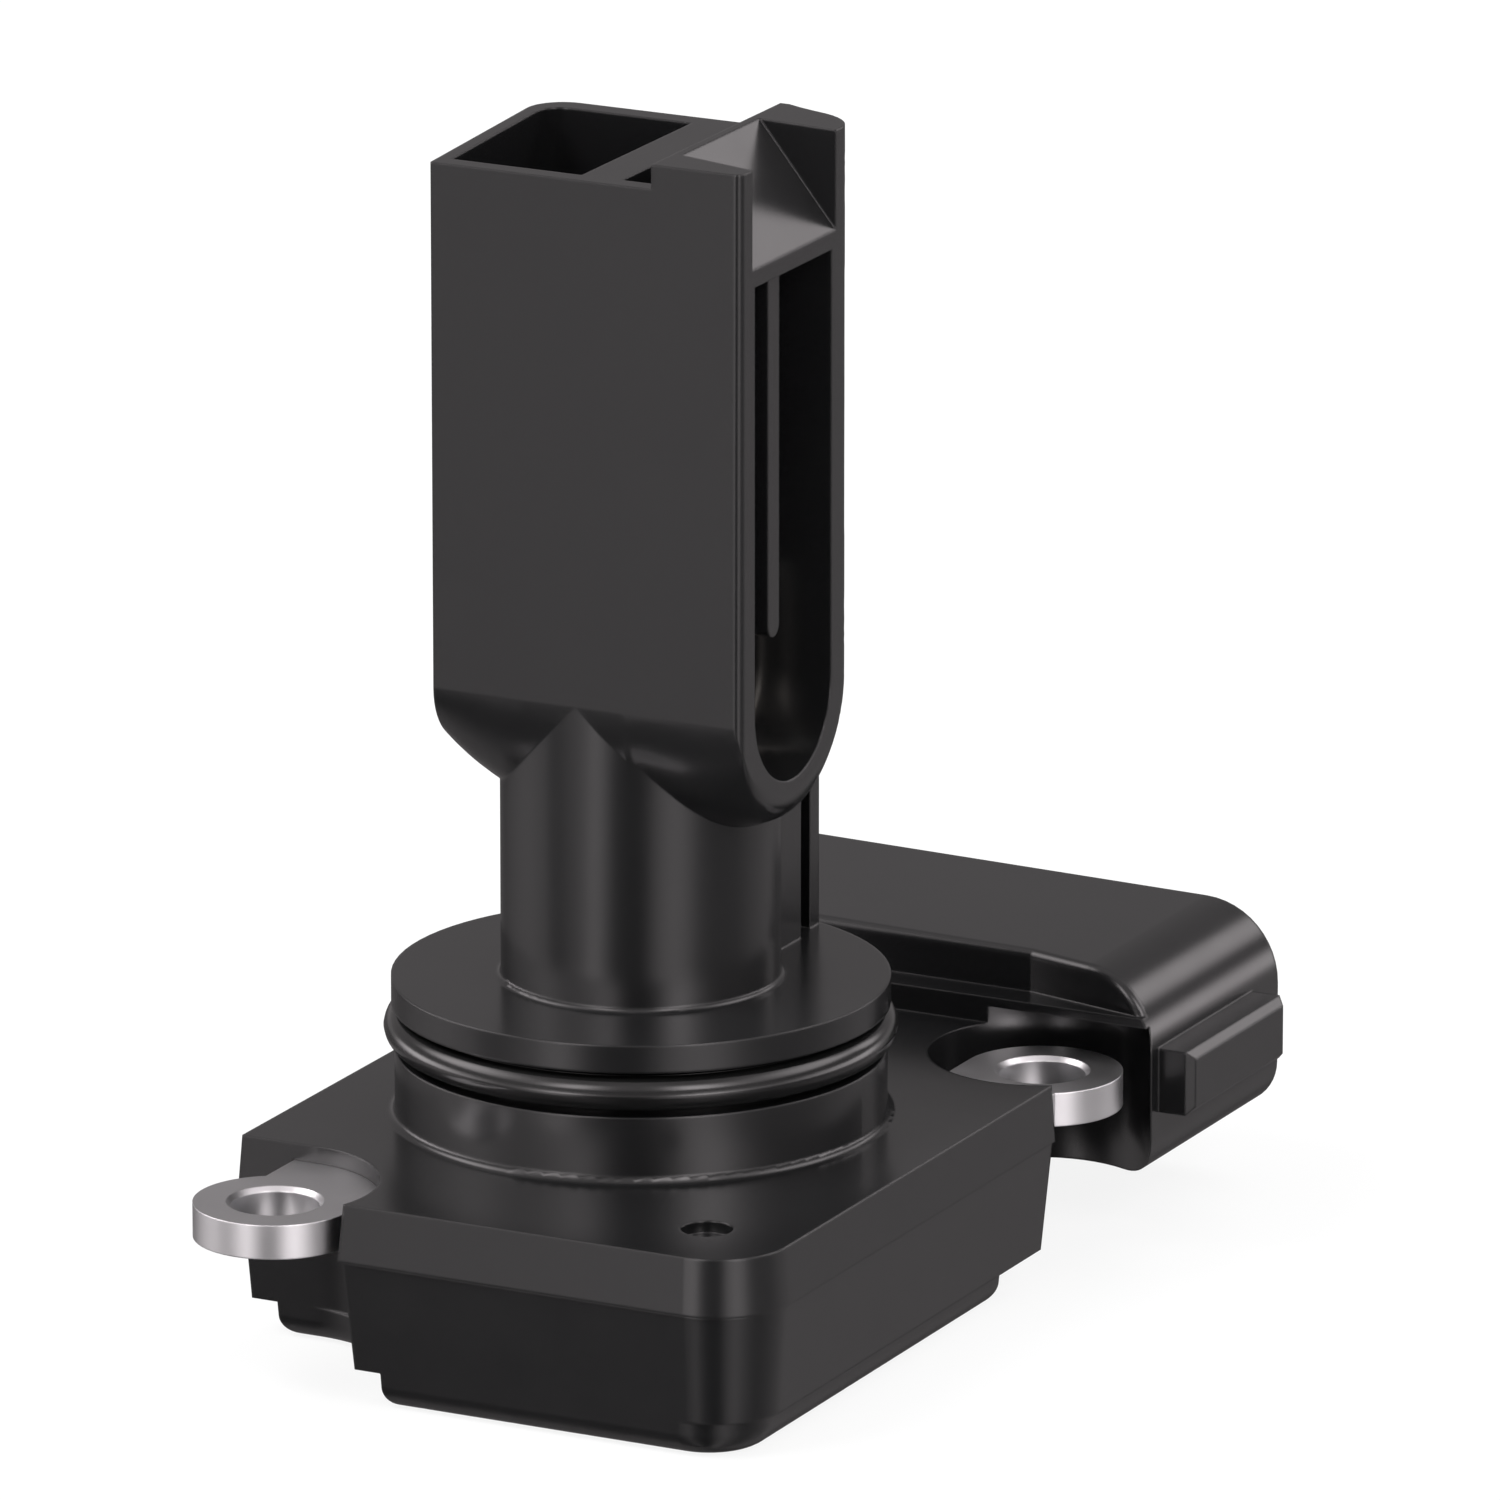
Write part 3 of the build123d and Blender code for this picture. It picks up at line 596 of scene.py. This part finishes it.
@dataclass(frozen=True)
class Studio:
    """White sweep, soft lamps, the surroundings that the object mirrors, and the camera."""

    floor_z: float = -22.0 * MM
    floor_half: float = 3.0
    floor_grey: float = 0.85
    floor_roughness: float = 0.9
    floor_glow: float = 0.88
    fill_grey: float = 0.55
    view_azimuth: float = 26.85
    view_elevation: float = 16.12
    view_distance: float = 1.04
    view_clip: tuple[float, float] = (0.05, 20.0)
    lens: float = 399.36
    sensor_width: float = 36.0
    aim: Point = (0.0, 0.0, -9.0 * MM)
    aim_right: float = -6.8 * MM
    aim_up: float = -22.5 * MM
    later_depth: float = 1.5
    window: Window = Window()
    lamp_target: Point = (0.0, 0.0, 10.0 * MM)
    lamps: tuple[Lamp, ...] = (
        Lamp("key_lamp", -48.0, 52.0, 1.1, 0.7, 0.5, 13.0),
        Lamp("rim_lamp", 168.0, 42.0, 1.2, 0.9, 0.35, 9.0),
        Lamp("fill_lamp", 70.0, 40.0, 1.3, 0.5, 0.5, 6.0),
    )

    def build(self) -> None:
        """Adds the camera, the floor, the world and the lamps."""
        self.add_camera()
        self.add_floor()
        self.set_world()
        for lamp in self.lamps:
            lamp.place(Vector(self.lamp_target))
        bpy.context.scene.view_settings.view_transform = "Standard"

    def add_camera(self) -> None:
        """Adds the camera at the photograph's angle."""
        turn = math.radians(self.view_azimuth)
        right = Vector((math.cos(turn), math.sin(turn), 0.0))
        back = direction(self.view_azimuth, self.view_elevation)
        up = back.cross(right)
        data = bpy.data.cameras.new("camera")
        data.lens = self.lens
        data.sensor_width = self.sensor_width
        data.sensor_fit = "HORIZONTAL"
        data.clip_start, data.clip_end = self.view_clip
        camera = add_object("camera", data)
        place = Vector(self.aim) + back * self.view_distance - right * self.aim_right - up * self.aim_up
        turned = Matrix((right, up, back)).transposed().to_4x4()
        camera.matrix_world = Matrix.Translation(place) @ turned
        bpy.context.scene.camera = camera

    def add_floor(self) -> None:
        """Adds the floor, nearly white to the camera and left out of reflections."""
        shape = bmesh.new()
        bmesh.ops.create_grid(shape, x_segments=1, y_segments=1, size=self.floor_half)
        bmesh.ops.translate(shape, verts=shape.verts, vec=(0.0, 0.0, self.floor_z))
        mesh = bpy.data.meshes.new("floor")
        shape.to_mesh(mesh)
        shape.free()
        mesh.materials.append(self.floor_material())
        floor = add_object("floor", mesh)
        floor.visible_glossy = False

    def floor_material(self) -> bpy.types.Material:
        """Makes the floor's material, which glows for the camera and takes a soft shadow.

        Returns:
            The material.
        """
        material = bpy.data.materials.new("white_sweep")
        material.use_nodes = True
        tree = material.node_tree
        lit = tree.nodes["Principled BSDF"]
        lit.inputs["Base Color"].default_value = plain_grey(self.floor_grey)
        lit.inputs["Roughness"].default_value = self.floor_roughness
        lit.inputs["Specular IOR Level"].default_value = 0.0
        white = add_node(tree, "ShaderNodeEmission")
        seen = mixed_shaders(tree, self.floor_glow, lit.outputs[0], white.outputs[0])
        path = add_node(tree, "ShaderNodeLightPath")
        result = mixed_shaders(tree, path.outputs["Is Camera Ray"], lit.outputs[0], seen)
        tree.links.new(result, tree.nodes["Material Output"].inputs["Surface"])
        return material

    def surroundings(self, tree: bpy.types.NodeTree) -> bpy.types.NodeSocket:
        """Makes what the object mirrors: layers of strips of light, a graded ceiling and a window.

        A mirrored ray meets other layers on its first bounce than after a second one, so that the faces that look
        up stay dark while the walls beside them mirror bright strips through them.

        Args:
            tree: The world's tree.

        Returns:
            The socket with the colour of each direction.
        """
        looked = add_node(tree, "ShaderNodeTexCoord").outputs["Generated"]
        split = add_node(tree, "ShaderNodeSeparateXYZ")
        tree.links.new(looked, split.inputs[0])
        height = split.outputs["Z"]
        front = math_node(tree, "MULTIPLY", split.outputs["Y"], -1.0)
        turn = math_node(tree, "ARCTAN2", split.outputs["X"], front)
        compass = math_node(tree, "MULTIPLY_ADD", turn, 1.0 / math.tau, 0.5)
        colours = {layer: grey_ramp(tree, compass, [(angle / 360.0 + 0.5, grey) for angle, grey in stops])
                   for layer, stops in COMPASS_GREYS.items()}
        colours[Layer.SKY] = grey_ramp(tree, height, SKY_GREYS)
        results = []
        for layers in (FIRST_LAYERS, LATER_LAYERS):
            result = colours[Layer.DEEP]
            for layer, low, high in layers:
                result = blended(tree, smooth_rise(tree, height, (low, high)), result, colours[layer])
            results.append(result)
        path = add_node(tree, "ShaderNodeLightPath")
        later = math_node(tree, "GREATER_THAN", path.outputs["Glossy Depth"], self.later_depth)
        return self.window.add(tree, looked, blended(tree, later, *results))

    def set_world(self) -> None:
        """Sets the world: white behind, even fill on the object, strips of light in reflections."""
        world = bpy.data.worlds.new("studio")
        bpy.context.scene.world = world
        world.use_nodes = True
        tree = world.node_tree
        fill = tree.nodes["Background"]
        fill.inputs["Color"].default_value = plain_grey(self.fill_grey)
        white = add_node(tree, "ShaderNodeBackground")
        white.inputs["Color"].default_value = plain_grey(1.0)
        mirrored = add_node(tree, "ShaderNodeBackground")
        tree.links.new(self.surroundings(tree), mirrored.inputs["Color"])
        path = add_node(tree, "ShaderNodeLightPath")
        lights = mixed_shaders(tree, path.outputs["Is Glossy Ray"], fill.outputs[0], mirrored.outputs[0])
        result = mixed_shaders(tree, path.outputs["Is Camera Ray"], lights, white.outputs[0])
        tree.links.new(result, tree.nodes["World Output"].inputs["Surface"])


class Wardrobe:
    """Builds each finish once and hands it out."""

    def __init__(self) -> None:
        """Starts with the shared node groups and no materials."""
        self.effects = Effects()
        self.made: dict[str, bpy.types.Material] = {}

    def get(self, finish: Finish) -> bpy.types.Material:
        """Gives the material of a finish.

        Args:
            finish: The finish.

        Returns:
            Its material.
        """
        if finish.name not in self.made:
            self.made[finish.name] = finish.build(self.effects)
        return self.made[finish.name]

    def dress_nodes(self) -> None:
        """Gives every CAD node its finish."""
        for name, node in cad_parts.items():
            material = self.get(NODE_FINISHES[name])
            for slot in node.material_slots:
                slot.material = material
            LOG.info("dressed %s in %s", name, material.name)


def add_piece(name: str, shape: bmesh.types.BMesh, material: bpy.types.Material) -> bpy.types.Object:
    """Turns a bmesh into a piece that rides on the body.

    Args:
        name: Name of the piece.
        shape: Its shape, in metres in the row frame; it is freed.
        material: Its finish.

    Returns:
        The new object.
    """
    bmesh.ops.recalc_face_normals(shape, faces=shape.faces)
    for face in shape.faces:
        face.smooth = True
    mesh = bpy.data.meshes.new(name)
    shape.to_mesh(mesh)
    shape.free()
    mesh.materials.append(material)
    piece = add_object(name, mesh)
    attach(piece, ROOT)
    LOG.info("added %s with %d faces", name, len(mesh.polygons))
    return piece


def spun_profile(points: Sequence[tuple[float, float]], steps: int) -> bmesh.types.BMesh:
    """Spins a closed profile about Z.

    Args:
        points: Radius and height of each point, in metres.
        steps: Steps of the full turn.

    Returns:
        The ring.
    """
    shape = bmesh.new()
    verts = [shape.verts.new((radius, 0.0, height)) for radius, height in points]
    edges = [shape.edges.new((verts[index - 1], verts[index])) for index in range(len(verts))]
    bmesh.ops.spin(shape, geom=verts + edges, cent=(0.0, 0.0, 0.0), axis=(0.0, 0.0, 1.0), dvec=(0.0, 0.0, 0.0),
                   angle=math.tau, steps=steps, use_merge=True, use_duplicate=False)
    bmesh.ops.remove_doubles(shape, verts=shape.verts, dist=MERGE_DISTANCE)
    return shape


@dataclass(frozen=True)
class SealingRing:
    """The rubber ring in the spigot's groove, with the thin flash line that its mould leaves."""

    centre_radius: float = 14.95 * MM
    section: float = 1.1 * MM
    height: float = -3.25 * MM
    flash: float = 0.025 * MM
    flash_half: float = 0.06 * MM
    steps: int = 180
    around: int = 40

    def build(self, wardrobe: Wardrobe) -> None:
        """Builds the ring in place of its CAD node.

        Args:
            wardrobe: Source of the finish.
        """
        points = []
        for index in range(self.around):
            angle = math.tau * index / self.around
            radius = self.section
            if abs(self.section * math.sin(angle)) < self.flash_half:
                radius += self.flash
            points.append((self.centre_radius + radius * math.cos(angle), self.height + radius * math.sin(angle)))
        ring = add_piece("sealing_ring", spun_profile(points, self.steps), wardrobe.get(RING_RUBBER))
        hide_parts("o_ring")


@dataclass(frozen=True)
class Element:
    """Where one sensing element lies."""

    name: str
    x: float
    top: float


@dataclass(frozen=True)
class Windings:
    """Fine wire wound round the two sensing elements, and the welds that hold them on their posts."""

    wire_radius: float = 0.05 * MM
    wire_sides: int = 8
    turns: int = 9
    turn_steps: int = 24
    span: float = 1.5 * MM
    winding_radius: float = 0.62 * MM
    weld_radius: float = 0.34 * MM
    weld_shape: Point = (1.0, 0.9, 0.55)
    weld_segments: int = 20
    weld_rings: int = 12
    weld_lift: float = 0.12 * MM
    post_half_gap: float = 1.9 * MM
    lead_radius: float = 0.2 * MM
    elements: tuple[Element, ...] = (
        Element("hot_element", 5.4 * MM, 24.5 * MM), Element("cold_element", 3.9 * MM, 29.0 * MM))

    def build(self, wardrobe: Wardrobe) -> None:
        """Builds the windings and the welds.

        Args:
            wardrobe: Source of the finishes.
        """
        for element in self.elements:
            self.add_winding(element, wardrobe)
            self.add_welds(element, wardrobe)

    def add_winding(self, element: Element, wardrobe: Wardrobe) -> None:
        """Adds one winding as a strand swept along a helix, with closed ends.

        The strand's section is turned square to the element's axis.

        Args:
            element: The element that carries it.
            wardrobe: Source of the finish.
        """
        start = Vector((element.x, -self.span / 2, element.top + self.lead_radius))
        steps = self.turns * self.turn_steps
        shape = bmesh.new()
        bmesh.ops.create_circle(shape, segments=self.wire_sides, radius=self.wire_radius, cap_ends=False,
                                matrix=Matrix.Rotation(math.pi / 2, 4, "X"))
        bmesh.ops.translate(shape, verts=shape.verts, vec=start + Vector((self.winding_radius, 0.0, 0.0)))
        bmesh.ops.spin(shape, geom=list(shape.verts) + list(shape.edges), cent=start, axis=(0.0, 1.0, 0.0),
                       dvec=(0.0, self.span / steps, 0.0), angle=math.tau * self.turns, steps=steps,
                       use_merge=False, use_duplicate=False)
        bmesh.ops.holes_fill(shape, edges=[edge for edge in shape.edges if edge.is_boundary], sides=0)
        add_piece(f"{element.name}_winding", shape, wardrobe.get(POST_METAL))

    def add_welds(self, element: Element, wardrobe: Wardrobe) -> None:
        """Adds the weld beads at both posts of one element.

        Args:
            element: The element that they hold.
            wardrobe: Source of the finish.
        """
        shape = bmesh.new()
        for side in (-1.0, 1.0):
            bead = bmesh.ops.create_uvsphere(shape, u_segments=self.weld_segments, v_segments=self.weld_rings,
                                             radius=self.weld_radius)["verts"]
            bmesh.ops.scale(shape, verts=bead, vec=self.weld_shape)
            bmesh.ops.translate(shape, verts=bead,
                                vec=(element.x, side * self.post_half_gap, element.top + self.weld_lift))
        add_piece(f"{element.name}_welds", shape, wardrobe.get(WELD_METAL))


def main() -> None:
    """Builds the studio and every piece."""
    logging.basicConfig(level=logging.INFO, format="%(message)s")
    Studio().build()
    wardrobe = Wardrobe()
    wardrobe.dress_nodes()
    SealingRing().build(wardrobe)
    Windings().build(wardrobe)


if __name__ == "__main__":
    main()
